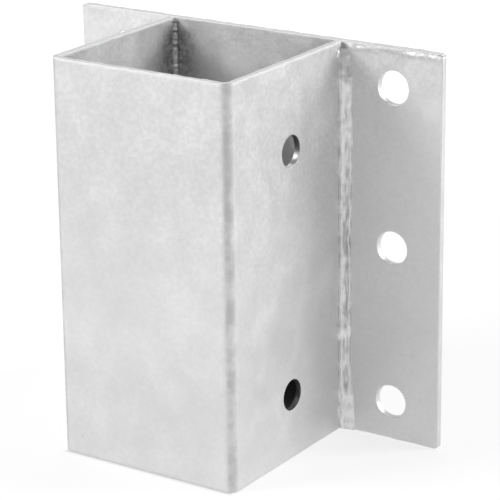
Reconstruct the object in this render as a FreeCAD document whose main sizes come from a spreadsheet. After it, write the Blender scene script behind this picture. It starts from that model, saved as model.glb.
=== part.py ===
import FreeCAD, Part
import os
import Sketcher

# Timber post base that is screwed to a wall or to the side of a joist. A sheet is folded into
# a U-shaped sleeve for the post, and its two legs are welded to a flat back plate that stands
# out on both sides as screw flanges.
# Millimetres. The origin is the centre of the plate's back face, the wall is on the +Y side,
# +Z is up, and the part is the same on both sides of the plane X = 0.

doc = FreeCAD.newDocument("post_base")
sheet = doc.addObject("Spreadsheet::Sheet", "Sizes")


class Length:
    """A length held both as its present value and as an expression on the sheet."""

    def __init__(self, now, text):
        self.now = now
        self.text = text

    def __add__(self, other):
        return Length(self.now + other.now, f"({self.text} + {other.text})")

    def __sub__(self, other):
        return Length(self.now - other.now, f"({self.text} - {other.text})")

    def __mul__(self, factor):
        return Length(self.now * factor, f"({self.text} * {factor})")


def size(alias, number, meaning):
    """Write one driving dimension into the sheet and return it."""
    row = size.rows = size.rows + 1
    sheet.set(f"A{row}", meaning)
    sheet.set(f"B{row}", str(number))
    sheet.setAlias(f"B{row}", alias)
    return Length(number, f"Sizes.{alias}")


size.rows = 0

# Sleeve
post_pocket = size("post_pocket", 71.0, "clear width between the side walls")
pocket_depth = size("pocket_depth", 71.0, "clear depth from front wall to back plate")
sleeve_sheet = size("sleeve_sheet", 2.5, "sheet of the sleeve")
bend_inside = size("bend_inside", 1.5, "inside radius of the two folds")
body_height = size("body_height", 150.0, "height of sleeve and plate, flush at both ends")
post_hole = size("post_hole", 11.5, "diameter of the holes through the side walls")
post_hole_setback = size("post_hole_setback", 34.5, "hole centre to the plate's front face")
post_hole_low = size("post_hole_low", 25.0, "lower hole centre to the bottom edge")
post_hole_high = size("post_hole_high", 33.0, "upper hole centre to the top edge")

# Back plate
plate_sheet = size("plate_sheet", 3.0, "sheet of the back plate")
flange_width = size("flange_width", 41.0, "plate beyond the sleeve, each side")
plate_corner = size("plate_corner", 1.5, "corner radius of the plate")
wall_hole = size("wall_hole", 12.5, "diameter of the six holes in the flanges")
wall_hole_side = size("wall_hole_side", 20.0, "hole centre to the plate's side edge")
wall_hole_end = size("wall_hole_end", 15.0, "outer hole centre to the top or bottom edge")

# Edges of both sheets
edge_round = size("edge_round", 0.4, "sheared edges, softened by the zinc")
mouth_bevel = size("mouth_bevel", 0.3, "bevel at the mouths of all holes")

# Welds
root_gap = size("root_gap", 0.5, "gap between a leg's end and the plate, filled by the weld")
weld_side_leg = size("weld_side_leg", 2.3, "reach along the side wall, from the plate")
weld_plate_leg = size("weld_plate_leg", 4.2, "reach along the plate, from the side wall")
weld_radius = size("weld_radius", 6.5, "radius of the weld's bulging face")
root_bead = size("root_bead", 1.6, "reach of the bead that ran through to the inside")
root_bead_radius = size("root_bead_radius", 2.4, "radius of that bead's bulging face")
weld_start = size("weld_start", 2.5, "end of the weld below the top edge")
weld_end_loss = size("weld_end_loss", 1.1, "how much narrower the weld's upper end is")
weld_blend = size("weld_blend", 5.0, "height over which the weld changes its width")
weld_pinch = size("weld_pinch", 73.0, "height of the narrow place")
weld_pinch_loss = size("weld_pinch_loss", 0.5, "how much narrower it is there")
weld_lump = size("weld_lump", 39.0, "height of the lump where a new run began")
weld_lump_growth = size("weld_lump_growth", 0.6, "how much wider it is there")
weld_foot = size("weld_foot", 14.0, "height of the wide closing run at the foot")
weld_foot_growth = size("weld_foot_growth", 0.4, "how much wider it is there")
doc.recompute()

# Places that follow from the sizes
sleeve_width = post_pocket + sleeve_sheet * 2
plate_width = sleeve_width + flange_width * 2
front_face = plate_sheet + pocket_depth + sleeve_sheet
leg_end = plate_sheet + root_gap
half_height = body_height * 0.5

# A sketch's own names for its axes, its origin and the places on a line or a circle
START, END, CENTRE = range(1, 4)
H_AXIS, V_AXIS = range(-1, -3, -1)
ORIGIN = (H_AXIS, START)

# Two measures that differ by less than this are the same
TOLERANCE = 1e-6


def bind(target, path, length):
    """Tie one property of an object to the sheet."""
    target.setExpression(path, length.text)


def new_body(name):
    body = doc.addObject("PartDesign::Body", name)
    body.Label = name
    body.Placement = FreeCAD.Placement()
    return body


def new_sketch(body, name, role):
    """An empty sketch on one of the body's own origin planes."""
    sketch = body.newObject("Sketcher::SketchObject", name)
    plane = next(p for p in body.Origin.OriginFeatures if p.Role == role)
    sketch.AttachmentSupport = [(plane, "")]
    sketch.MapMode = "FlatFace"
    return sketch


def dimension(sketch, name, length, kind, *places):
    """Add a dimension between places of a sketch and tie it to the sheet."""
    index = sketch.addConstraint(Sketcher.Constraint(kind, *places, length.now))
    sketch.renameConstraint(index, name)
    bind(sketch, f"Constraints.{name}", length)


def closed_outline(sketch, corners):
    """Straight sides through the corners, joined end to start. Returns their numbers."""
    sides = []
    for start, end in zip(corners, corners[1:] + corners[:1]):
        line = Part.LineSegment(FreeCAD.Vector(*start, 0), FreeCAD.Vector(*end, 0))
        sides.append(sketch.addGeometry(line, False))
    for side, following in zip(sides, sides[1:] + sides[:1]):
        sketch.addConstraint(Sketcher.Constraint("Coincident", side, END, following, START))
    return sides


def hole_sketch(body, name, role, diameter, across, up):
    """One circle, placed by its distances from the origin. Returns the sketch."""
    sketch = new_sketch(body, name, role)
    middle = FreeCAD.Vector(across.now, up.now, 0)
    circle = Part.Circle(middle, FreeCAD.Vector(0, 0, 1), diameter.now / 2)
    ring = sketch.addGeometry(circle, False)
    dimension(sketch, "bore", diameter, "Diameter", ring)
    dimension(sketch, "across", across, "DistanceX", *ORIGIN, ring, CENTRE)
    dimension(sketch, "up", up, "DistanceY", *ORIGIN, ring, CENTRE)
    return sketch


def cut_through(body, name, sketch):
    """A hole both ways from its sketch, through every wall in line with it."""
    before = body.Shape.Volume
    pocket = body.newObject("PartDesign::Pocket", name)
    pocket.Profile = sketch
    pocket.Type = "ThroughAll"
    pocket.SideType = "Symmetric"
    doc.recompute()
    if not pocket.Shape.Volume < before:
        raise RuntimeError(f"{body.Name}: {name} cut nothing")
    return pocket


def origin_axis(body, role):
    return next(a for a in body.Origin.OriginFeatures if a.Role == role)


def edges_where(shape, wanted):
    """Names of the edges that the test picks."""
    return [f"Edge{n}" for n, edge in enumerate(shape.Edges, start=1) if wanted(edge)]


def dress(body, name, kind, measure, length, wanted):
    """Fillet or chamfer the edges of the body's last feature that the test picks."""
    base = body.Tip
    feature = body.newObject(f"PartDesign::{kind}", name)
    feature.Base = (base, edges_where(base.Shape, wanted))
    bind(feature, measure, length)
    doc.recompute()


def fillet(body, name, radius, wanted):
    dress(body, name, "Fillet", "Radius", radius, wanted)


def bevel(body, name, leg, wanted):
    dress(body, name, "Chamfer", "Size", leg, wanted)


def lies_at(edge, axis, place):
    """True where a whole edge has one value of x, y or z."""
    box = edge.BoundBox
    low = getattr(box, f"{axis}Min")
    high = getattr(box, f"{axis}Max")
    return max(abs(low - place), abs(high - place)) < TOLERANCE


def runs_along(edge, axis):
    """True for an edge that is parallel to x, y or z."""
    box = edge.BoundBox
    across = [getattr(box, f"{other}Length") for other in "XYZ" if other != axis]
    return max(across) < TOLERANCE


def is_mouth(edge):
    """True for the full circles where holes come out of a face."""
    return isinstance(edge.Curve, Part.Circle) and len(edge.Vertexes) == 1


# Back plate
# One flat sheet, cut to size with softened corners and three holes up each flange.
plate = new_body("back_plate")
outline = new_sketch(plate, "plate_outline", "XZ_Plane")
half_width = plate_width * 0.5
w, h = half_width.now, half_height.now
bottom, right, top, left = closed_outline(outline, [(-w, -h), (w, -h), (w, h), (-w, h)])
for side, kind in ((bottom, "Horizontal"), (right, "Vertical"),
                   (top, "Horizontal"), (left, "Vertical")):
    outline.addConstraint(Sketcher.Constraint(kind, side))
outline.addConstraint(Sketcher.Constraint("Symmetric", bottom, START, top, START, *ORIGIN))
dimension(outline, "width", plate_width, "DistanceX", bottom, START, bottom, END)
dimension(outline, "height", body_height, "DistanceY", right, START, right, END)
blank = plate.newObject("PartDesign::Pad", "plate_blank")
blank.Profile = outline
blank.Length = plate_sheet.now
bind(blank, "Length", plate_sheet)
doc.recompute()
fillet(plate, "plate_corners", plate_corner, lambda e: runs_along(e, "Y"))
flange_hole_across = half_width - wall_hole_side
flange_hole_up = half_height - wall_hole_end
first_hole = hole_sketch(plate, "flange_hole_outline", "XZ_Plane", wall_hole,
                         flange_hole_across * -1, flange_hole_up * -1)
flange_hole = cut_through(plate, "flange_hole", first_hole)
flange_holes = plate.newObject("PartDesign::LinearPattern", "flange_holes")
flange_holes.Originals = [flange_hole]
flange_holes.Direction = (origin_axis(plate, "Z_Axis"), [""])
flange_holes.Occurrences = 3
bind(flange_holes, "Length", flange_hole_up * 2)
flange_holes.Direction2 = (origin_axis(plate, "X_Axis"), [""])
flange_holes.Occurrences2 = 2
bind(flange_holes, "Length2", flange_hole_across * 2)
plate.Tip = flange_holes
doc.recompute()
bevel(plate, "flange_hole_mouths", mouth_bevel, is_mouth)
fillet(plate, "plate_edges", edge_round,
       lambda e: not is_mouth(e) and (lies_at(e, "Y", 0) or lies_at(e, "Y", -plate_sheet.now)))

# Post sleeve
# One sheet with two folds. The legs stop at the root gap in front of the plate.
sleeve = new_body("post_sleeve")
section = new_sketch(sleeve, "sleeve_section", "XY_Plane")
outer = sleeve_width.now / 2
inner = post_pocket.now / 2
front = -front_face.now
back = -leg_end.now
skin = sleeve_sheet.now
names = ["front_outside", "right_outside", "right_end", "right_inside",
         "front_inside", "left_inside", "left_end", "left_outside"]
corners = [(-outer, front), (outer, front), (outer, back), (inner, back),
           (inner, front + skin), (-inner, front + skin), (-inner, back), (-outer, back)]
side = dict(zip(names, closed_outline(section, corners)))
for name in ("right_end", "left_end"):
    section.addConstraint(Sketcher.Constraint("Horizontal", side[name]))
for name in ("right_outside", "right_inside", "left_inside", "left_outside"):
    section.addConstraint(Sketcher.Constraint("Vertical", side[name]))
for name in ("front_outside", "front_inside"):
    line = side[name]
    section.addConstraint(Sketcher.Constraint("Symmetric", line, START, line, END, V_AXIS))
dimension(section, "pocket", post_pocket, "DistanceX", side["front_inside"], END,
          side["front_inside"], START)
dimension(section, "leg_sheet", sleeve_sheet, "DistanceX", side["right_end"], END,
          side["right_end"], START)
dimension(section, "front_sheet", sleeve_sheet, "DistanceY", side["front_outside"], END,
          side["front_inside"], START)
dimension(section, "front_place", front_face, "DistanceY", side["front_outside"], END, *ORIGIN)
dimension(section, "right_leg_end", leg_end, "DistanceY", side["right_end"], START, *ORIGIN)
dimension(section, "left_leg_end", leg_end, "DistanceY", side["left_end"], START, *ORIGIN)
channel = sleeve.newObject("PartDesign::Pad", "sleeve_channel")
channel.Profile = section
channel.SideType = "Symmetric"
channel.Length = body_height.now
bind(channel, "Length", body_height)
doc.recompute()


def is_fold(x_place, y_place):
    """A test for the two corners of the section at one depth, right and left."""
    return lambda e: lies_at(e, "Y", y_place) and (lies_at(e, "X", x_place) or lies_at(e, "X", -x_place))


fillet(sleeve, "folds_outside", bend_inside + sleeve_sheet, is_fold(outer, front))
fillet(sleeve, "folds_inside", bend_inside, is_fold(inner, front + skin))
post_hole_across = (plate_sheet + post_hole_setback) * -1
post_hole_up = post_hole_low - half_height
first_post_hole = hole_sketch(sleeve, "post_hole_outline", "YZ_Plane", post_hole,
                              post_hole_across, post_hole_up)
lower_holes = cut_through(sleeve, "lower_post_holes", first_post_hole)
post_holes = sleeve.newObject("PartDesign::LinearPattern", "post_holes")
post_holes.Originals = [lower_holes]
post_holes.Direction = (origin_axis(sleeve, "Z_Axis"), [""])
post_holes.Occurrences = 2
bind(post_holes, "Length", body_height - post_hole_low - post_hole_high)
sleeve.Tip = post_holes
doc.recompute()
bevel(sleeve, "post_hole_mouths", mouth_bevel, is_mouth)
fillet(sleeve, "sleeve_rims", edge_round,
       lambda e: lies_at(e, "Z", half_height.now) or lies_at(e, "Z", -half_height.now))

# Welds
# Each fills the root gap, stands as a fillet outside and has run through as a small bead
# inside. It was laid in several runs, so its width changes on the way up: a wide closing run
# at the foot, a lump, a narrow place and a thin upper end.


def bulging_arc(start, end, radius):
    """Arc that turns left from start to end, so that it bulges to the right of the way."""
    chord = FreeCAD.Vector(end[0] - start[0], end[1] - start[1], 0)
    rise = radius - (radius ** 2 - (chord.Length / 2) ** 2) ** 0.5
    to_the_right = FreeCAD.Vector(chord.y, -chord.x, 0).normalize()
    start = FreeCAD.Vector(*start, 0)
    return Part.Arc(start, start + chord / 2 + to_the_right * rise, start + chord)


def weld_section(body, name, height, growth):
    """Cross-section of the right weld at a height above the bottom edge."""
    sketch = new_sketch(body, name, "XY_Plane")
    place = height - half_height
    sketch.AttachmentOffset = FreeCAD.Placement(FreeCAD.Vector(0, 0, place.now), FreeCAD.Rotation())
    bind(sketch, "AttachmentOffset.Base.z", place)
    plate_leg = weld_plate_leg + growth
    side_leg = weld_side_leg + growth
    face = -plate_sheet.now
    far_toe = (inner - root_bead.now, face)
    plate_toe = (outer + plate_leg.now, face)
    side_toe = (outer, face - side_leg.now)
    inside_toe = (inner, back - root_bead.now)
    straight = [(far_toe, plate_toe), (side_toe, (outer, back)),
                ((outer, back), (inner, back)), ((inner, back), inside_toe)]
    lines = []
    for start, end in straight:
        line = Part.LineSegment(FreeCAD.Vector(*start, 0), FreeCAD.Vector(*end, 0))
        lines.append(sketch.addGeometry(line, False))
    on_plate, on_side, on_end, on_inside = lines
    outer_arc = sketch.addGeometry(bulging_arc(side_toe, plate_toe, weld_radius.now), False)
    inner_arc = sketch.addGeometry(bulging_arc(far_toe, inside_toe, root_bead_radius.now), False)
    for one, its_end, other, other_end in (
            (on_plate, END, outer_arc, END), (outer_arc, START, on_side, START),
            (on_side, END, on_end, START), (on_end, END, on_inside, START),
            (on_inside, END, inner_arc, END), (inner_arc, START, on_plate, START)):
        sketch.addConstraint(Sketcher.Constraint("Coincident", one, its_end, other, other_end))
    for line, kind in ((on_plate, "Horizontal"), (on_side, "Vertical"),
                       (on_end, "Horizontal"), (on_inside, "Vertical")):
        sketch.addConstraint(Sketcher.Constraint(kind, line))
    dimension(sketch, "plate_face", plate_sheet, "DistanceY", on_plate, START, *ORIGIN)
    dimension(sketch, "leg_end", leg_end, "DistanceY", on_end, START, *ORIGIN)
    dimension(sketch, "wall_outside", sleeve_width * 0.5, "DistanceX", *ORIGIN, on_end, START)
    dimension(sketch, "wall_sheet", sleeve_sheet, "DistanceX", on_end, END, on_end, START)
    dimension(sketch, "plate_leg", plate_leg, "DistanceX", on_end, START, on_plate, END)
    dimension(sketch, "side_leg", side_leg, "DistanceY", on_side, START, on_plate, END)
    dimension(sketch, "inside_leg", root_bead, "DistanceY", on_inside, END, on_inside, START)
    dimension(sketch, "far_leg", root_bead, "DistanceX", on_plate, START, on_end, END)
    dimension(sketch, "outer_radius", weld_radius, "Radius", outer_arc)
    dimension(sketch, "inner_radius", root_bead_radius, "Radius", inner_arc)
    return sketch


weld = new_body("weld_right")
bottom_edge = body_height * 0
upper_end = body_height - weld_start
plain = weld_side_leg * 0
stations = [
    ("foot", bottom_edge, weld_foot_growth),
    ("foot_top", weld_foot, weld_foot_growth),
    ("run_start", weld_foot + weld_blend, plain),
    ("below_lump", weld_lump - weld_blend, plain),
    ("lump", weld_lump, weld_lump_growth),
    ("above_lump", weld_lump + weld_blend, plain),
    ("below_pinch", weld_pinch - weld_blend, plain),
    ("pinch", weld_pinch, weld_pinch_loss * -1),
    ("above_pinch", weld_pinch + weld_blend, plain),
    ("run_end", upper_end - weld_blend, plain),
    ("upper_end", upper_end, weld_end_loss * -1),
]
sections = [weld_section(weld, f"weld_{name}", height, growth) for name, height, growth in stations]
doc.recompute()
bead = weld.newObject("PartDesign::AdditiveLoft", "weld_bead")
bead.Profile = sections[0]
bead.Sections = sections[1:]
bead.Ruled = True
doc.recompute()

weld_left = doc.addObject("Part::Mirroring", "weld_left")
weld_left.Label = "weld_left"
weld_left.Source = weld
weld_left.Base = FreeCAD.Vector(0, 0, 0)
weld_left.Normal = FreeCAD.Vector(1, 0, 0)
weld_left.Placement = FreeCAD.Placement()
doc.recompute()

# Checks, then one file for each piece
for item in doc.Objects:
    if "Invalid" in item.State or "Error" in item.State:
        raise RuntimeError(f"{item.Name} did not build: {item.State}")
pieces = [sleeve, plate, weld, weld_left]
for piece in pieces:
    if piece.Shape.isNull() or not piece.Shape.isValid() or len(piece.Shape.Solids) != 1:
        raise RuntimeError(f"{piece.Label} is not one sound solid")
os.makedirs("parts", exist_ok=True)
for piece in pieces:
    piece.Shape.exportStep(f"parts/{piece.Label}.step")
    print(f"{piece.Label}: {piece.Shape.Volume:.0f} cubic mm")
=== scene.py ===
import math
from collections import namedtuple

import bmesh
import bpy
from mathutils import Matrix, Vector, noise


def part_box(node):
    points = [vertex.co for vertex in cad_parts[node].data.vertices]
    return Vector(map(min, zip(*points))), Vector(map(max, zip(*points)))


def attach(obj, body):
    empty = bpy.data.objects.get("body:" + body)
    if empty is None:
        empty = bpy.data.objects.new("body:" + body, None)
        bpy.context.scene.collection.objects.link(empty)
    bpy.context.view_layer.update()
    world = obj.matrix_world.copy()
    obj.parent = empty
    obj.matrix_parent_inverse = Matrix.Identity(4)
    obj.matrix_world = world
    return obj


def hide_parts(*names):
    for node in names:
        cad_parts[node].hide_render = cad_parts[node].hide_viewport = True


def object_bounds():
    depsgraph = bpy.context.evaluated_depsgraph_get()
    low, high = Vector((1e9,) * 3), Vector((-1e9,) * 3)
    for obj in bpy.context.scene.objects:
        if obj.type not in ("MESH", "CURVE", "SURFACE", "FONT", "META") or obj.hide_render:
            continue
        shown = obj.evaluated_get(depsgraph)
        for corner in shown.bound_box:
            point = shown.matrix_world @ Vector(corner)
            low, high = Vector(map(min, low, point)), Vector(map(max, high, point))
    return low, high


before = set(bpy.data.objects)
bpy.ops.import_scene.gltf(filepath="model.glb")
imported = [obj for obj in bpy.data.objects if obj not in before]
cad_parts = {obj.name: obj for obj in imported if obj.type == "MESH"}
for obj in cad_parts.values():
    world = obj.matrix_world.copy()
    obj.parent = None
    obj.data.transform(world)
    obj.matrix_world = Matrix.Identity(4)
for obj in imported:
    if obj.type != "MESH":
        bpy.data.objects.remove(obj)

cad_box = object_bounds()
MM = 0.001

# Back plate
# One flat rectangle of 3 mm steel, sheared to size, with three punched screw holes up each side.
# After welding the whole base was dipped in molten zinc. The coat rounds every sheared edge, and
# it stands in small lumps along the top edge, where the last of it froze as it drained.
# Inside the pocket its face beside the root bead is a speckled grey, partly ash from the arc and
# partly painted shade of the corner, and a painted shade darkens it lower down.
PLATE_CORNER = 1.5 * MM
PLATE_HOLE = 12.5 * MM
PLATE_HOLE_ACROSS = 59 * MM
PLATE_HOLE_UP = 60 * MM
EDGE_ROUND = 0.45 * MM
MOUTH_ROUND = 0.22 * MM
GRID_STEP = 1.5 * MM
RIM_GRID_STEP = 0.5 * MM
COAT_SWELL = 0.12 * MM
COAT_SWELL_SPREAD = 22 * MM
RIM_LUMPS = 0.38 * MM
RIM_LUMP_SPREAD = 3.5 * MM
PLATE_RIM_REACH = 1.6 * MM
# The lumps under the top edge of both flanges, much flatter on the left
DRAINED_BAND = 3.2 * MM
DRAINED_SPREAD = 1.8 * MM
DRAINED_RISE = 0.4 * MM
LEFT_SHARE = 0.2
FLANGE_START = 40 * MM

ZINC = "ECECEC"
ZINC_CLOUD = "E6E6E6"
ZINC_PALE_PATCH = "F1F1F1"
ZINC_MOTTLE = "D6D6D6"
ZINC_SPECK = "B9B9B9"
# Painted shade laid along the top rims, which dims their highlight
RIM_SHADE_ZINC = "D8D8D8"
# Ash mixed with painted shade in the pocket's corners, and a painted shade low in the pocket
ASH_AND_CORNER_SHADE = "8A8A8A"
DEEP_POCKET_SHADE = "8C8C8C"

Pattern = namedtuple("Pattern", "width detail roughness low high least most")
# Each pattern has the real width of its blotches. The shade is least where its noise is below low
# and most where it is above high. Real grain is finer, and is drawn as coarse as it needs to show.
CLOUDS = Pattern(28 * MM, 3, 0.55, 0.35, 0.65, 0, 1)
PATCHES = Pattern(7 * MM, 3, 0.6, 0.5, 0.75, 0, 0.3)
MOTTLES = Pattern(2.6 * MM, 4, 0.65, 0.42, 0.66, 0, 0.25)
GRAIN = Pattern(0.9 * MM, 3, 0.6, 0.3, 0.7, 0, 0.6)
SPECKS = Pattern(1.4 * MM, 2, 0.5, 0.7, 0.82, 0, 0.3)
ROUGHNESS = Pattern(7 * MM, 3, 0.6, 0.3, 0.7, 0.45, 0.55)
RIPPLES = Pattern(1.8 * MM, 3, 0.5, 0, 1, 0, 1)
ASH_AND_SHADE_SPECKLE = Pattern(1.1 * MM, 3, 0.7, 0.38, 0.64, 0.25, 1)
GRAIN_BELOW = 0.4
RIM_SHADE_COVER = 0.9
RIM_ROUGHNESS = 0.75
ASH_AND_SHADE_COVER = 0.8
# How far the bumps rise that the light shows, though the mesh doesn't
PEEL_RISE = 0.25 * MM
PEEL_STRENGTH = 0.5
FROST_RISE = 0.08 * MM
RIPPLE_RISE = 0.9 * MM
# Pairs of places, measured from the centre, between which a shade fades in or out
RIM_TOP = 74.4 * MM
RIM = (73.8 * MM, RIM_TOP)
PLATE_GRAIN = (50 * MM, 72 * MM)
RIPPLES_UP = (RIM_TOP - DRAINED_BAND, RIM_TOP - 0.5 * DRAINED_BAND)
RIPPLES_ACROSS = (FLANGE_START - 2 * MM, FLANGE_START + 1 * MM)
INNER_WALL = (35.6 * MM, 36 * MM)
PLATE_FRONT = (1.5 * MM, 2.5 * MM)
SLEEVE_FRONT = (74.1 * MM, 74.9 * MM)
ASH_AND_SHADE_TOP = (67 * MM, 73 * MM)
PLATE_ASH_AND_SHADE = (23 * MM, 34 * MM)
DEEP = (0, -45 * MM)


def spread(low, high, step):
    """Evenly spaced places from low up to, but without, high. They are at most a step apart."""
    parts = math.ceil((high - low) / step)
    return [low + (high - low) * part / parts for part in range(parts)]


def slice_across(bm, axis, places):
    """Cut new edge lines across the whole mesh, square to one axis."""
    for place in places:
        everything = bm.verts[:] + bm.edges[:] + bm.faces[:]
        bmesh.ops.bisect_plane(bm, geom=everything, plane_co=axis * place, plane_no=axis)


def grid_lines(size, cells, extra=()):
    """Places of the grid lines across a sheet. Cells are the stretches that hold holes."""
    fixed = sorted({-size / 2, size / 2, *extra, *(end for cell in cells for end in cell)})
    lines = []
    for low, high in zip(fixed, fixed[1:]):
        lines += spread(low, high, GRID_STEP)
    return lines[1:]


# In radii of a hole: half the square cell that is cut round it, the rings that close in on it, and
# how far out an edge still belongs to it
HALF_CELL = 1.5
RINGS = (1.22, 1.1, 1)
ON_BORE = 1.05
SAME_PLACE = 1.001
SHARP = math.radians(60)


def open_hole(bm, middle, radius, half_cell):
    """Turn the square cell round a place into rings that close in on a round hole."""
    def within(place, reach):
        return max(abs(place.x - middle.x), abs(place.y - middle.y)) < reach

    inside = [face for face in bm.faces if within(face.calc_center_median(), half_cell)]
    bmesh.ops.delete(bm, geom=inside, context="FACES")
    rim = [edge for edge in bm.edges if edge.is_boundary
           and all(within(vert.co, half_cell * SAME_PLACE) for vert in edge.verts)]
    for ring in RINGS:
        made = bmesh.ops.extrude_edge_only(bm, edges=rim)["geom"]
        rim = [part for part in made if isinstance(part, bmesh.types.BMEdge)]
        for vert in [part for part in made if isinstance(part, bmesh.types.BMVert)]:
            vert.co = middle + (vert.co - middle).normalized() * radius * ring


def sheet_blank(width, height, thickness, holes, corner=0.0, extra_lines=(), extra_rows=()):
    """A flat sheet about the origin, outer face up, with round holes and rounded edges."""
    bm = bmesh.new()
    bmesh.ops.create_grid(bm, x_segments=1, y_segments=1, size=0.5)
    bmesh.ops.scale(bm, verts=bm.verts[:], vec=(width, height, 1))
    if corner:
        bmesh.ops.bevel(bm, geom=bm.verts[:], offset=corner, segments=4, profile=0.5,
                        affect="VERTICES", material=-1)
    cells_across = {(x - r * HALF_CELL, x + r * HALF_CELL) for x, y, r in holes}
    cells_up = {(y - r * HALF_CELL, y + r * HALF_CELL) for x, y, r in holes}
    slice_across(bm, Vector((1, 0, 0)), grid_lines(width, cells_across, extra_lines))
    slice_across(bm, Vector((0, 1, 0)), grid_lines(height, cells_up, extra_rows))
    for x, y, radius in holes:
        open_hole(bm, Vector((x, y, 0)), radius, radius * HALF_CELL)
    bmesh.ops.recalc_face_normals(bm, faces=bm.faces[:])
    bmesh.ops.solidify(bm, geom=bm.faces[:], thickness=thickness)

    def at_hole(edge):
        middle = (edge.verts[0].co + edge.verts[1].co) / 2
        return any(math.hypot(middle.x - x, middle.y - y) < radius * ON_BORE
                   for x, y, radius in holes)

    for mouths, offset in ((True, MOUTH_ROUND), (False, EDGE_ROUND)):
        sharp = [edge for edge in bm.edges
                 if edge.calc_face_angle(0) > SHARP and at_hole(edge) == mouths]
        bmesh.ops.bevel(bm, geom=sharp, offset=offset, segments=3, profile=0.5,
                        affect="EDGES", material=-1)
    return bm


def swell_coat(bm, seed):
    """Let the zinc rise and fall gently. The coat's highest places keep the sheet's own size."""
    bm.normal_update()
    shift = Vector((seed, seed, seed))
    for vert in bm.verts:
        hollow = 0.5 - 0.5 * noise.noise(vert.co / COAT_SWELL_SPREAD + shift)
        vert.co -= vert.normal * COAT_SWELL * hollow


def lumpy_rim(bm, rim, reach, seed):
    """Lower a rim's edge here and there, so that lumps of zinc stand between the low places."""
    shift = Vector((seed, seed, seed))
    for vert in bm.verts:
        nearness = 1 - abs(rim - vert.co.z) / reach
        if nearness > 0:
            hollow = 0.5 - 0.6 * noise.noise(vert.co / RIM_LUMP_SPREAD + shift)
            vert.co.z -= math.copysign(RIM_LUMPS * max(0, hollow) * nearness, rim)


def lumps_under_rim(bm, rim, seed):
    """Raise the lumps in which the last zinc to drain froze, under the top edge of both flanges.
    They are flatter on the left one."""
    bm.normal_update()
    shift = Vector((seed, seed, seed))
    for vert in bm.verts:
        height = 1 - (rim - EDGE_ROUND - vert.co.z) / DRAINED_BAND
        if vert.normal.y < -0.9 and height > 0 and abs(vert.co.x) > FLANGE_START:
            swell = 0.45 + noise.noise(vert.co / DRAINED_SPREAD + shift)
            rise = DRAINED_RISE if vert.co.x > 0 else DRAINED_RISE * LEFT_SHARE
            vert.co.y -= rise * max(0, swell) * min(1, 2 * height)


def finished_piece(bm, name, material):
    """Turn a mesh into an object with one material and smooth shading."""
    for face in bm.faces:
        face.smooth = True
    mesh = bpy.data.meshes.new(name)
    bm.to_mesh(mesh)
    bm.free()
    mesh.materials.append(material)
    piece = bpy.data.objects.new(name, mesh)
    bpy.context.scene.collection.objects.link(piece)
    return piece


def linear(colour):
    """An sRGB hex colour as the linear colour that shaders use."""
    levels = [int(colour[at:at + 2], 16) / 255 for at in (0, 2, 4)]
    return [v / 12.92 if v <= 0.04045 else ((v + 0.055) / 1.055) ** 2.4 for v in levels] + [1]


def add_node(tree, kind, inputs, **settings):
    """Add a node with its settings. An input is a value or the output that feeds it."""
    made = tree.nodes.new(kind)
    for name, value in settings.items():
        setattr(made, name, value)
    for name, value in inputs.items():
        if isinstance(value, bpy.types.NodeSocket):
            tree.links.new(value, made.inputs[name])
        else:
            made.inputs[name].default_value = value
    return made


def noise_inputs(at, pattern):
    """The inputs of a noise, from the real width of its blotches."""
    return {"Vector": at, "Scale": 0.5 / pattern.width, "Detail": pattern.detail,
            "Roughness": pattern.roughness}


def step_inputs(value, low, high, at_low=0.0, at_high=1.0):
    """The inputs of a step from one result to another, as a value goes from low to high."""
    return {"Value": value, "From Min": low, "From Max": high, "To Min": at_low, "To Max": at_high}


SOFT = {"interpolation_type": "SMOOTHSTEP"}


def blotches(tree, at, pattern):
    """Blotches of a pattern with soft edges, from its least to its most."""
    level = add_node(tree, "ShaderNodeTexNoise", noise_inputs(at, pattern)).outputs["Fac"]
    step = add_node(tree, "ShaderNodeMapRange", step_inputs(
        level, pattern.low, pattern.high, pattern.least, pattern.most), **SOFT)
    return step.outputs["Result"]


def fade(tree, axis, *levels, mirrored=True):
    """A soft step between two places along an axis, as a rule the same on both sides of zero."""
    place = add_node(tree, "ShaderNodeTexCoord", {}).outputs["Object"]
    if mirrored:
        place = add_node(tree, "ShaderNodeVectorMath", {0: place}, operation="ABSOLUTE").outputs[0]
    along = add_node(tree, "ShaderNodeSeparateXYZ", {"Vector": place}).outputs[axis]
    step = add_node(tree, "ShaderNodeMapRange", step_inputs(along, *levels), **SOFT)
    return step.outputs["Result"]


def overlap(tree, *amounts):
    """Where several amounts from 0 to 1 hold at once."""
    shared = amounts[0]
    for amount in amounts[1:]:
        both = add_node(tree, "ShaderNodeMath", {0: shared, 1: amount}, operation="MULTIPLY")
        shared = both.outputs["Value"]
    return shared


def recoat(material, amount, colour):
    """Lay another shade over a material, as far as an amount from 0 to 1 says."""
    tree = material.node_tree
    shaded = tree.nodes["Principled BSDF"].inputs["Base Color"]
    under = shaded.links[0].from_socket if shaded.is_linked else shaded.default_value[:]
    coats = add_node(tree, "ShaderNodeMix", {"Factor": amount, "A": under, "B": linear(colour)},
                     data_type="RGBA")
    tree.links.new(coats.outputs["Result"], shaded)


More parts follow.
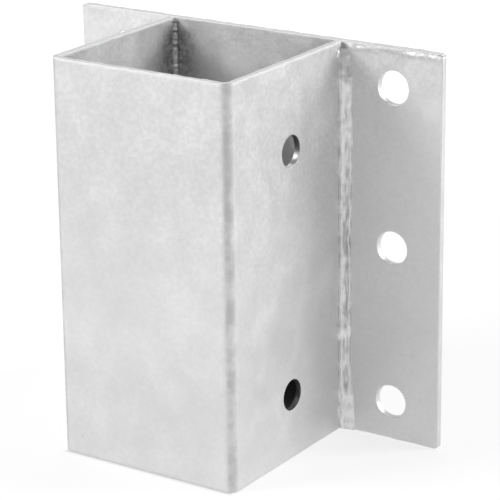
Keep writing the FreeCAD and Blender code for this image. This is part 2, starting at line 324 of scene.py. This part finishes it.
def galvanised(name, shift, grainy):
    """Batch hot-dip zinc: a pale matt grey with no clear spangle, clouded over centimetres and
    mottled over millimetres. A fine frosty grain grows stronger between two heights, towards
    the top, where the coat drained thinnest."""
    material = bpy.data.materials.new(name)
    material.use_nodes = True
    tree = material.node_tree
    shader = tree.nodes["Principled BSDF"]
    shader.inputs["Metallic"].default_value = 1
    shader.inputs["Base Color"].default_value = linear(ZINC_CLOUD)
    place = add_node(tree, "ShaderNodeTexCoord", {}).outputs["Object"]
    moved = add_node(tree, "ShaderNodeMapping", {"Vector": place, "Location": shift})
    at = moved.outputs["Vector"]
    upper = fade(tree, "Z", *grainy, GRAIN_BELOW, 1, mirrored=False)

    recoat(material, blotches(tree, at, CLOUDS), ZINC)
    recoat(material, blotches(tree, at, PATCHES), ZINC_PALE_PATCH)
    recoat(material, overlap(tree, upper, blotches(tree, at, MOTTLES)), ZINC_MOTTLE)
    recoat(material, overlap(tree, upper, blotches(tree, at, GRAIN)), ZINC_MOTTLE)
    recoat(material, blotches(tree, at, SPECKS), ZINC_SPECK)
    # Painted shade along the top rims, which dims their highlight
    recoat(material, fade(tree, "Z", *RIM, 0, RIM_SHADE_COVER, mirrored=False), RIM_SHADE_ZINC)
    dullness = fade(tree, "Z", *RIM, blotches(tree, at, ROUGHNESS), RIM_ROUGHNESS, mirrored=False)
    tree.links.new(dullness, shader.inputs["Roughness"])

    peel = add_node(tree, "ShaderNodeTexNoise", noise_inputs(at, PATCHES)).outputs["Fac"]
    orange_peel = add_node(tree, "ShaderNodeBump", {
        "Height": peel, "Distance": PEEL_RISE, "Strength": PEEL_STRENGTH})
    grain = add_node(tree, "ShaderNodeTexNoise", noise_inputs(at, GRAIN)).outputs["Fac"]
    frost = add_node(tree, "ShaderNodeBump", {
        "Height": grain, "Distance": FROST_RISE, "Strength": upper,
        "Normal": orange_peel.outputs["Normal"]})
    tree.links.new(frost.outputs["Normal"], shader.inputs["Normal"])
    return material


def ash_and_shade_by_root(material, across, back):
    """A speckled dull grey on the inner faces beside the root beads, partly ash from the arc and
    partly painted shade of the pocket's corner. A painted shade lies darker on them, low in the
    pocket."""
    tree = material.node_tree
    place = add_node(tree, "ShaderNodeTexCoord", {}).outputs["Object"]
    inside = fade(tree, "X", *INNER_WALL, 1, 0)
    beside_bead = overlap(tree, inside, fade(tree, "X", *across), fade(tree, "Y", *back))
    below_rim = fade(tree, "Z", *ASH_AND_SHADE_TOP, ASH_AND_SHADE_COVER, 0)
    speckle = blotches(tree, place, ASH_AND_SHADE_SPECKLE)
    # Ash mixed with painted shade, in the corners beside the root beads
    recoat(material, overlap(tree, beside_bead, below_rim, speckle), ASH_AND_CORNER_SHADE)
    in_pocket = overlap(tree, fade(tree, "Y", *PLATE_FRONT), fade(tree, "Y", *SLEEVE_FRONT, 1, 0))
    # Painted shade, darker lower down in the pocket
    deep = fade(tree, "Z", *DEEP, mirrored=False)
    recoat(material, overlap(tree, inside, in_pocket, deep), DEEP_POCKET_SHADE)


def roughen_drained_rim(material):
    """Small ripples over the lumps under the right flange's top edge. The left one is smooth."""
    tree = material.node_tree
    shaded = tree.nodes["Principled BSDF"].inputs["Normal"]
    place = add_node(tree, "ShaderNodeTexCoord", {}).outputs["Object"]
    height = add_node(tree, "ShaderNodeTexNoise", noise_inputs(place, RIPPLES)).outputs["Fac"]
    near_rim = fade(tree, "Z", *RIPPLES_UP, mirrored=False)
    ripples = add_node(tree, "ShaderNodeBump", {
        "Height": height, "Distance": RIPPLE_RISE, "Normal": shaded.links[0].from_socket,
        "Strength": overlap(tree, near_rim, fade(tree, "X", *RIPPLES_ACROSS, mirrored=False))})
    tree.links.new(ripples.outputs["Normal"], shaded)


plate_low, plate_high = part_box("back_plate")
plate_size = plate_high - plate_low
plate_holes = [(x, z, PLATE_HOLE / 2) for x in (-PLATE_HOLE_ACROSS, PLATE_HOLE_ACROSS)
               for z in (-PLATE_HOLE_UP, 0, PLATE_HOLE_UP)]
rim_rows = spread(plate_high.z - DRAINED_BAND - 1 * MM, plate_high.z, RIM_GRID_STEP)
plate_mesh = sheet_blank(plate_size.x, plate_size.z, plate_size.y, plate_holes, PLATE_CORNER,
                         extra_rows=rim_rows)
stand_up = Matrix.Translation((0, plate_low.y, 0)) @ Matrix.Rotation(math.radians(90), 4, "X")
bmesh.ops.transform(plate_mesh, matrix=stand_up, verts=plate_mesh.verts[:])
swell_coat(plate_mesh, 3.1)
lumpy_rim(plate_mesh, plate_high.z, PLATE_RIM_REACH, 7.7)
lumpy_rim(plate_mesh, plate_low.z, PLATE_RIM_REACH, 11.9)
lumps_under_rim(plate_mesh, plate_high.z, 6.4)
plate_zinc = galvanised("galvanised_back_plate", (0.3, 0.1, 0.7), PLATE_GRAIN)
ash_and_shade_by_root(plate_zinc, PLATE_ASH_AND_SHADE, PLATE_FRONT)
roughen_drained_rim(plate_zinc)
plate = finished_piece(plate_mesh, "flanged_back_plate", plate_zinc)
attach(plate, "root")
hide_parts("back_plate")

# Post sleeve
# A blank of 2.5 mm sheet, punched flat with two bolt holes for each side and then folded twice
# into a U that goes round three sides of the post. It is dipped together with the plate.
SLEEVE_SHEET = 2.5 * MM
FOLD_OUTSIDE = 4 * MM
POST_HOLE = 11.5 * MM
POST_HOLE_SETBACK = 37.5 * MM
POST_HOLES_UP = (-50 * MM, 42 * MM)
FOLD_SHADE_ZINC = "CCCCCC"
BORE_SHADE_ZINC = "8C8C8C"
FOLD_STEP = 0.6 * MM
SLEEVE_RIM_REACH = 1.2 * MM
FOLD_SHADE_BLOTCHES = Pattern(4 * MM, 4, 0.65, 0.38, 0.62, 0.25, 1)
SLEEVE_GRAIN = (-20 * MM, 55 * MM)
SIDE_ASH_AND_SHADE_ACROSS = (34 * MM, 35 * MM)
SIDE_ASH_AND_SHADE_BACK = (17 * MM, 6 * MM)

sleeve_low, sleeve_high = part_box("post_sleeve")
front_half = sleeve_high.x - FOLD_OUTSIDE
fold_length = FOLD_OUTSIDE * math.pi / 2
leg = sleeve_high.y - sleeve_low.y - FOLD_OUTSIDE
blank_half = front_half + fold_length + leg
hole_run = blank_half - (POST_HOLE_SETBACK + sleeve_high.y)


def folded(run, up, depth):
    """Where a point of the flat blank ends, from its way across, its height and its depth."""
    along = abs(run)
    if along <= front_half:
        x, y = along, sleeve_low.y + depth
    elif along < front_half + fold_length:
        turn = (along - front_half) / FOLD_OUTSIDE
        radius = FOLD_OUTSIDE - depth
        x = front_half + radius * math.sin(turn)
        y = sleeve_low.y + FOLD_OUTSIDE - radius * math.cos(turn)
    else:
        x = sleeve_high.x - depth
        y = sleeve_low.y + FOLD_OUTSIDE + along - front_half - fold_length
    return Vector((math.copysign(x, run), y, up))


fold_places = [*spread(front_half, front_half + fold_length, FOLD_STEP), front_half + fold_length]
fold_lines = [side * place for side in (-1, 1) for place in fold_places]
sleeve_holes = [(side * hole_run, up, POST_HOLE / 2) for side in (-1, 1) for up in POST_HOLES_UP]
sleeve_mesh = sheet_blank(2 * blank_half, sleeve_high.z - sleeve_low.z, SLEEVE_SHEET, sleeve_holes,
                          extra_lines=fold_lines)
for vert in sleeve_mesh.verts:
    vert.co = folded(vert.co.x, vert.co.y, -vert.co.z)
swell_coat(sleeve_mesh, 5.3)
lumpy_rim(sleeve_mesh, sleeve_high.z, SLEEVE_RIM_REACH, 2.3)
lumpy_rim(sleeve_mesh, sleeve_low.z, SLEEVE_RIM_REACH, 8.1)


def shade_the_folds(material):
    """Painted shade over the folds: a duller, blotchy grey laid down the front bends, standing in
    for their dark reflection."""
    tree = material.node_tree
    place = add_node(tree, "ShaderNodeTexCoord", {}).outputs["Object"]
    fold_front = -sleeve_low.y
    beside = fade(tree, "X", front_half + 0.2 * FOLD_OUTSIDE, front_half + 0.55 * FOLD_OUTSIDE)
    before = fade(tree, "Y", fold_front - FOLD_OUTSIDE, fold_front - 0.5 * FOLD_OUTSIDE)
    patchy = blotches(tree, place, FOLD_SHADE_BLOTCHES)
    # Painted shade down the two front folds
    recoat(material, overlap(tree, beside, before, patchy), FOLD_SHADE_ZINC)


def shade_the_bores(material):
    """The walls of the punched holes are torn and rough. Their coat gets a painted shade, which
    dims their highlight.
    """
    tree = material.node_tree
    place = add_node(tree, "ShaderNodeTexCoord", {}).outputs["Object"]
    flat = add_node(tree, "ShaderNodeVectorMath", {0: place, 1: (0, 1, 1)}, operation="MULTIPLY")
    for up in POST_HOLES_UP:
        away = add_node(tree, "ShaderNodeVectorMath", {
            0: flat.outputs[0], 1: (0, -POST_HOLE_SETBACK, up)}, operation="DISTANCE")
        on_bore = add_node(tree, "ShaderNodeMapRange", step_inputs(
            away.outputs["Value"], POST_HOLE / 2, POST_HOLE / 2 + MOUTH_ROUND, 1, 0), **SOFT)
        # Painted shade on the bore wall
        recoat(material, on_bore.outputs["Result"], BORE_SHADE_ZINC)


sleeve_zinc = galvanised("galvanised_folded_sleeve", (0.9, 0.5, 0.2), SLEEVE_GRAIN)
shade_the_folds(sleeve_zinc)
shade_the_bores(sleeve_zinc)
ash_and_shade_by_root(sleeve_zinc, SIDE_ASH_AND_SHADE_ACROSS, SIDE_ASH_AND_SHADE_BACK)
sleeve = finished_piece(sleeve_mesh, "folded_post_sleeve", sleeve_zinc)
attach(sleeve, "root")
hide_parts("post_sleeve")

# Welds
# Each leg of the sleeve is joined to the plate by a weld all the way down its corner, laid with
# wire in several runs. The arc ran through the root gap and left a small knotted bead inside the
# pocket. The zinc follows the two ridges of the runs and softens them.
Run = namedtuple("Run", "height plate_leg side_leg bulge ridge")
# All in millimetres. The height is measured from the foot, and a ridge stands on the bulge.
WELD_RUNS = [
    Run(0.0, 5.2, 1.0, 0.05, 0.00),
    Run(3.0, 5.6, 2.4, 0.30, 0.05),
    Run(9.0, 5.6, 3.0, 0.45, 0.08),
    Run(13.0, 5.2, 2.9, 0.45, 0.15),
    Run(19.0, 4.2, 2.6, 0.30, 0.60),
    Run(27.0, 3.6, 2.5, 0.25, 0.70),
    Run(35.0, 3.7, 2.6, 0.30, 0.65),
    Run(39.5, 4.3, 3.3, 0.70, 0.25),
    Run(45.0, 3.9, 2.6, 0.25, 0.65),
    Run(60.0, 3.9, 2.5, 0.15, 0.75),
    Run(71.0, 3.8, 2.5, 0.15, 0.75),
    Run(75.0, 3.3, 2.4, 0.10, 0.90),
    Run(79.0, 3.9, 2.5, 0.15, 0.75),
    Run(95.0, 4.1, 2.7, 0.20, 0.65),
    Run(108.0, 4.3, 2.7, 0.30, 0.55),
    Run(116.0, 4.4, 2.8, 0.50, 0.30),
    Run(134.5, 4.2, 2.7, 0.50, 0.25),
    Run(138.0, 3.9, 2.8, 0.20, 0.10),
    Run(144.0, 3.4, 2.8, 0.10, 0.05),
    Run(147.0, 2.8, 2.2, 0.00, 0.00),
    Run(148.4, 1.8, 1.3, 0.00, 0.00),
]
WELD_STEP = 0.3
ROOT_GAP = 0.5 * MM
ROOT_BEAD = 1.6 * MM
SUNK = 0.25 * MM
FACE_PARTS = 38
ROOT_PARTS = 9
# Place and width of the two ridges, as shares of the way from the plate's toe to the side's
RIDGES = ((0.20, 0.09), (0.77, 0.14))
# Each swing of a line has its size, the millimetres that it takes and a seed of its own
PLATE_TOE_SWINGS = ((0.12, 7, 0), (0.16, 2, 2))
SIDE_TOE_SWINGS = ((0.08, 7, 5), (0.12, 2, 7))
RIDGE_PLACE_SWINGS = ((0.05, 6, 9), (0.015, 1.8, 0))
RIDGE_HEIGHT_SWINGS = ((0.35, 5, 20), (0.12, 1.5, 40))
ROOT_SWINGS = ((0.16, 1.3, 30),)
# Streaks along the bead and lumps on it, in millimetres
STREAK_RISE = 0.22
STREAK_WIDTH = 0.8
STREAK_LENGTH = 5
LUMP_RISE = 0.1
ROUGH_RISE = 0.16
ROUGH_BELOW_RIDGE = 0.7
LUMP_SPREAD = 1.3
LUMP_STRETCH = 2.5
# How much each form counts as a ridge. Where the count is high the coat gets a painted highlight,
# and where it is low a painted shade.
FLAT_RELIEF = 0.5
TOE_SHARE = 0.1
CREST_RELIEF = 0.8
STREAK_RELIEF = 0.4
LUMP_RELIEF = 0.15
DROP_HIGHLIGHT = 2
DROP_PLACE = Vector((38.0, -6.2, 70.4)) * MM
DROP_RADIUS = 1.2 * MM
DROP_SHAPE = (0.5, 0.9, 1.2, 1)
RIDGE_HIGHLIGHT_ZINC = "F6F6F6"
VALLEY_SHADE_ZINC = "B4B4B4"
DULL_WELD_ZINC = "CCCCCC"
RIDGE_HIGHLIGHT_STEP = (0.15, 0.6)
VALLEY_SHADE = (0, 0.35, 0.85, 0)
DROP_SPARED = (1.5, 1.8, 1, 0)
WELD_GRAIN = (-80 * MM, -75 * MM)
WELD_DABS = Pattern(1.6 * MM, 3, 0.6, 0.45, 0.65, 0, 0.3)
DULL_TOP_BLOTCHES = Pattern(1.2 * MM, 2, 0.5, 0.3, 0.7, 0.5, 1)
DULL_TOP_RANGE = (61 * MM, 62.5 * MM)


def run_at(height):
    """The weld's legs and relief at a height, between the runs that are given."""
    for low, high in zip(WELD_RUNS, WELD_RUNS[1:]):
        if height <= high.height:
            share = (height - low.height) / (high.height - low.height)
            share = share * share * (3 - 2 * share)
            return Run(*(a + (b - a) * share for a, b in zip(low, high)))
    return WELD_RUNS[-1]


def wander(height, seed, swings, apart=1):
    """The sum of several smooth swings about zero as the weld climbs. Their seeds lie apart."""
    return sum(size * 1.3 * noise.noise(Vector((height / spacing, shift, shift * 1.7)))
               for size, spacing, shift in ((a, b, seed + own * apart) for a, b, own in swings))


def weld_section(height, seed):
    """Corners of the right weld's cross-section, from its toe on the plate round to the inside,
    and how far each counts as part of a ridge, which sets the painted highlight and shade there."""
    run = run_at(height)
    plate_leg = (run.plate_leg + wander(height, seed, PLATE_TOE_SWINGS)) * MM
    side_leg = (run.side_leg + wander(height, seed, SIDE_TOE_SWINGS)) * MM
    plate_toe = Vector((sleeve_high.x + plate_leg, plate_low.y + SUNK))
    side_toe = Vector((sleeve_high.x - SUNK, plate_low.y - side_leg))
    chord = side_toe - plate_toe
    outward = Vector((-chord.y, chord.x)).normalized()
    outline = []
    light_by_relief = []
    for part in range(FACE_PARTS):
        share = part / (FACE_PARTS - 1)
        rise = run.bulge * 4 * share * (1 - share)
        counted = FLAT_RELIEF * min(1, share / TOE_SHARE, (1 - share) / TOE_SHARE)
        counted *= max(0, 1 - run.ridge)
        for place, width in RIDGES:
            middle = place + wander(height, seed, RIDGE_PLACE_SWINGS, apart=place)
            strength = 1 + wander(height, seed, RIDGE_HEIGHT_SWINGS, apart=place)
            crest = strength * math.exp(-((share - middle) / width) ** 2)
            rise += run.ridge * crest
            counted += CREST_RELIEF * crest
        across = share * chord.length / MM
        streak = noise.noise(Vector((across / STREAK_WIDTH, height / STREAK_LENGTH, seed)))
        lump = noise.noise(Vector((across, height / LUMP_STRETCH, seed)) / LUMP_SPREAD)
        roughness = LUMP_RISE + ROUGH_RISE * max(0, ROUGH_BELOW_RIDGE - run.ridge)
        rise += STREAK_RISE * streak + roughness * lump
        outline.append(plate_toe + chord * share + outward * rise * MM)
        light_by_relief.append(counted + STREAK_RELIEF * streak + LUMP_RELIEF * lump)
    leg_end = plate_low.y - ROOT_GAP
    inner_wall = sleeve_high.x - SLEEVE_SHEET
    outline.append(Vector((sleeve_high.x - SUNK, leg_end - SUNK)))
    outline.append(Vector((inner_wall + SUNK, leg_end - SUNK)))
    reach = ROOT_BEAD * (1 + wander(height, seed, ROOT_SWINGS))
    for part in range(ROOT_PARTS):
        turn = math.pi / 2 * part / (ROOT_PARTS - 1)
        outline.append(Vector((inner_wall + SUNK - reach * math.sin(turn),
                               leg_end + SUNK - reach * math.cos(turn))))
    light_by_relief += [FLAT_RELIEF] * (len(outline) - len(light_by_relief))
    return outline, light_by_relief


def weld_mesh(seed):
    """The right weld, raised from its foot by one thin slice after another."""
    foot = plate_low.z
    bm = bmesh.new()
    # Each corner's count as a ridge, which the coat turns into painted highlight and shade
    ridges = bm.verts.layers.float.new("ridges")
    corners, _ = weld_section(0, seed)
    foot_face = cap = bm.faces.new([bm.verts.new((*corner, foot)) for corner in corners])
    height = 0
    while height < WELD_RUNS[-1].height:
        height = min(height + WELD_STEP, WELD_RUNS[-1].height)
        raised = bmesh.ops.extrude_face_region(bm, geom=[cap])["geom"]
        if cap is not foot_face:
            bmesh.ops.delete(bm, geom=[cap], context="FACES_ONLY")
        cap = next(part for part in raised if isinstance(part, bmesh.types.BMFace))
        for vert, corner, light_by_relief in zip(cap.verts, *weld_section(height, seed)):
            vert.co = (*corner, foot + height * MM)
            vert[ridges] = light_by_relief
    bmesh.ops.recalc_face_normals(bm, faces=bm.faces[:])
    return bm


def weld_zinc():
    """The coat on the welds gets a painted highlight on the ridges, streaks and the drop, and a
    painted shade in the valleys and along the toes. It is darker and blotchy towards the top end,
    but for the drop."""
    material = galvanised("galvanised_weld_bead", (0.2, 0.8, 0.4), WELD_GRAIN)
    tree = material.node_tree
    place = add_node(tree, "ShaderNodeTexCoord", {}).outputs["Object"]
    light_by_relief = add_node(tree, "ShaderNodeAttribute", {}, attribute_name="ridges").outputs["Fac"]
    painted_ridge_highlight, painted_valley_shade, off_drop = (
        add_node(tree, "ShaderNodeMapRange", step_inputs(light_by_relief, *shade), **SOFT).outputs["Result"]
        for shade in (RIDGE_HIGHLIGHT_STEP, VALLEY_SHADE, DROP_SPARED))
    # Painted highlight on the ridges and painted shade in the valleys and along the toes
    recoat(material, painted_ridge_highlight, RIDGE_HIGHLIGHT_ZINC)
    recoat(material, painted_valley_shade, VALLEY_SHADE_ZINC)
    recoat(material, blotches(tree, place, WELD_DABS), DULL_WELD_ZINC)
    # Darker, blotchy zinc towards the top end, but for the drop
    darker_top = overlap(tree, fade(tree, "Z", *DULL_TOP_RANGE, mirrored=False),
                   blotches(tree, place, DULL_TOP_BLOTCHES), off_drop)
    recoat(material, darker_top, DULL_WELD_ZINC)
    return material


weld_coat = weld_zinc()
for side, seed in (("right", 4.0), ("left", 17.0)):
    bead_mesh = weld_mesh(seed)
    if side == "left":
        bmesh.ops.scale(bead_mesh, verts=bead_mesh.verts[:], vec=(-1, 1, 1))
        bmesh.ops.reverse_faces(bead_mesh, faces=bead_mesh.faces[:])
    else:
        in_place = Matrix.Translation(DROP_PLACE) @ Matrix.Diagonal(DROP_SHAPE)
        drop = bmesh.ops.create_icosphere(bead_mesh, subdivisions=3, radius=DROP_RADIUS,
                                          matrix=in_place)
        for vert in drop["verts"]:
            # A painted highlight on the drop
            vert[bead_mesh.verts.layers.float["ridges"]] = DROP_HIGHLIGHT
    bead = finished_piece(bead_mesh, f"weld_bead_{side}", weld_coat)
    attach(bead, "root")
    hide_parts(f"weld_{side}")

# Floor and backdrop
# A pale sweep of painted board. To the eye it is plain white, brighter still far from the base,
# and in the metal it is a little less. It keeps a soft share of the shadow under the base, and a
# painted shadow darkens it where the base stands on it. From below it is clear, so that the
# underside shows.
FLOOR_SIZE = 12
FLOOR_COLOUR = "C8C8C8"
FLOOR_PAINTED_SHADOW = "5A5A5A"
FLOOR_ROUGHNESS = 0.9
FLOOR_IN_METAL = 0.94
FLOOR_TO_EYE = 1.15
FAR_FLOOR_TO_EYE = 1.45
FAR_FLOOR = (0.2, 0.8)
SHADOW_SHARE = 0.3
PAINTED_SHADOW_EDGE = 6 * MM

floor_mesh = bmesh.new()
bmesh.ops.create_grid(floor_mesh, x_segments=1, y_segments=1, size=FLOOR_SIZE / 2)
bmesh.ops.translate(floor_mesh, verts=floor_mesh.verts[:], vec=(0, 0, cad_box[0].z))
floor_paint = bpy.data.materials.new("matt_white_board")
floor_paint.use_nodes = True
tree = floor_paint.node_tree
board = tree.nodes["Principled BSDF"]
board.inputs["Roughness"].default_value = FLOOR_ROUGHNESS
# Under the base the board's colour is a painted shadow. The pale colour is laid over it outside
board.inputs["Base Color"].default_value = linear(FLOOR_PAINTED_SHADOW)

footprint_middle = Vector((0, (sleeve_low.y + sleeve_high.y) / 2, cad_box[0].z))
place = add_node(tree, "ShaderNodeTexCoord", {}).outputs["Object"]
offset = add_node(tree, "ShaderNodeVectorMath", {
    0: place, 1: footprint_middle}, operation="SUBTRACT")
away = add_node(tree, "ShaderNodeVectorMath", {0: offset.outputs[0]}, operation="ABSOLUTE")
sides = add_node(tree, "ShaderNodeSeparateXYZ", {"Vector": away.outputs[0]}).outputs
distance = add_node(tree, "ShaderNodeMath", {0: sides["X"], 1: sides["Y"]}, operation="MAXIMUM")
outside = add_node(tree, "ShaderNodeMapRange", step_inputs(
    distance.outputs[0], sleeve_high.x - PAINTED_SHADOW_EDGE, sleeve_high.x)).outputs["Result"]
recoat(floor_paint, outside, FLOOR_COLOUR)

rays = add_node(tree, "ShaderNodeLightPath", {}).outputs
seen = rays["Is Camera Ray"]
for kind in ("Is Glossy Ray", "Is Transmission Ray"):
    either = add_node(tree, "ShaderNodeMath", {0: seen, 1: rays[kind]}, operation="MAXIMUM")
    seen = either.outputs["Value"]
to_eye = add_node(tree, "ShaderNodeMapRange", step_inputs(
    distance.outputs[0], *FAR_FLOOR, FLOOR_TO_EYE, FAR_FLOOR_TO_EYE), **SOFT).outputs["Result"]
level = add_node(tree, "ShaderNodeMapRange", {
    "Value": rays["Is Camera Ray"], "To Min": FLOOR_IN_METAL, "To Max": to_eye}).outputs["Result"]
white = add_node(tree, "ShaderNodeEmission", {"Color": (1, 1, 1, 1), "Strength": level})
upper_face = add_node(tree, "ShaderNodeMixShader", {
    0: overlap(tree, seen, outside, 1 - SHADOW_SHARE), 1: board.outputs[0], 2: white.outputs[0]})
from_below = add_node(tree, "ShaderNodeNewGeometry", {}).outputs["Backfacing"]
clear = add_node(tree, "ShaderNodeBsdfTransparent", {})
sheet = add_node(tree, "ShaderNodeMixShader", {
    0: from_below, 1: upper_face.outputs[0], 2: clear.outputs[0]})
tree.links.new(sheet.outputs[0], tree.nodes["Material Output"].inputs["Surface"])
floor = finished_piece(floor_mesh, "floor", floor_paint)

# Studio light
# A tent of white cloth, bright round the foot and dim overhead, with a darker opening towards the
# camera. A softbox on the left throws the sleeve's shadow into the pocket and over the flange. A
# second one, behind on the right, lights the sleeve's side, and a weak third, behind on the left,
# lights the top rims. To the eye the cloth is plain white.
TENT_FOOT = 0.78
TENT_TOP = 0.14
TENT_RISE = (0.1, 0.8)
OPENING = 0.6
OPENING_EDGE = (0.7, 0.95)
OPENING_TOWARDS = (0.556, -0.831, 0)
SOFTBOX_SIZE = 0.5
SOFTBOX_DISTANCE = 1.3
KEY_FROM = (-0.548, -0.609, 0.574)
KEY_BRIGHTNESS = 18.5
BACK_FROM = (0.734, 0.459, 0.5)
BACK_BRIGHTNESS = 16.5
RIM_FROM = (-0.28, 0.415, 0.866)
RIM_BRIGHTNESS = 3

world = bpy.data.worlds.new("white_tent")
world.use_nodes = True
bpy.context.scene.world = world
tree = world.node_tree
cloth = tree.nodes["Background"]
cloth.inputs["Color"].default_value = (1, 1, 1, 1)
direction = add_node(tree, "ShaderNodeTexCoord", {}).outputs["Generated"]
upward = add_node(tree, "ShaderNodeSeparateXYZ", {"Vector": direction}).outputs["Z"]
facing = add_node(tree, "ShaderNodeVectorMath", {
    0: direction, 1: OPENING_TOWARDS}, operation="DOT_PRODUCT").outputs["Value"]
dome = add_node(tree, "ShaderNodeMapRange", step_inputs(
    upward, *TENT_RISE, TENT_FOOT, TENT_TOP), **SOFT).outputs["Result"]
gap = add_node(tree, "ShaderNodeMapRange", step_inputs(
    facing, *OPENING_EDGE, 1, OPENING), **SOFT).outputs["Result"]
to_eye = add_node(tree, "ShaderNodeLightPath", {}).outputs["Is Camera Ray"]
level = add_node(tree, "ShaderNodeMix", {
    "Factor": to_eye, "A": overlap(tree, dome, gap), "B": 1.0})
tree.links.new(level.outputs["Result"], cloth.inputs["Strength"])


def softbox(name, towards, brightness):
    """A square lamp that faces the base. Its brightness is that of its cloth."""
    lamp = bpy.data.lights.new(name, "AREA")
    lamp.shape = "SQUARE"
    lamp.size = SOFTBOX_SIZE
    lamp.energy = brightness * SOFTBOX_SIZE ** 2 * math.pi
    holder = bpy.data.objects.new(name, lamp)
    holder.location = Vector(towards) * SOFTBOX_DISTANCE
    holder.rotation_euler = Vector(towards).to_track_quat("Z", "Y").to_euler()
    bpy.context.scene.collection.objects.link(holder)


softbox("key_softbox", KEY_FROM, KEY_BRIGHTNESS)
softbox("back_softbox", BACK_FROM, BACK_BRIGHTNESS)
softbox("rim_softbox", RIM_FROM, RIM_BRIGHTNESS)

# Camera
# A long lens, slightly above the base and to its right. The place and the turn are those that
# bring the edges and holes onto their places in the picture.
CAMERA_YAW = math.radians(33.785)
CAMERA_PITCH = math.radians(18.571)
CAMERA_ROLL = math.radians(-0.654)
CAMERA_DISTANCE = 0.871
CAMERA_TARGET = Vector((17.1, -33, 0.5)) * MM
CAMERA_LENS = 173.04

turn = (Matrix.Rotation(CAMERA_YAW, 4, "Z")
        @ Matrix.Rotation(math.radians(90) - CAMERA_PITCH, 4, "X")
        @ Matrix.Rotation(CAMERA_ROLL, 4, "Z"))
camera = bpy.data.objects.new("camera", bpy.data.cameras.new("camera"))
camera.data.lens = CAMERA_LENS
step_back = Matrix.Translation((0, 0, CAMERA_DISTANCE))
camera.matrix_world = Matrix.Translation(CAMERA_TARGET) @ turn @ step_back
bpy.context.scene.collection.objects.link(camera)
bpy.context.scene.camera = camera

bpy.context.scene.view_settings.view_transform = "Standard"
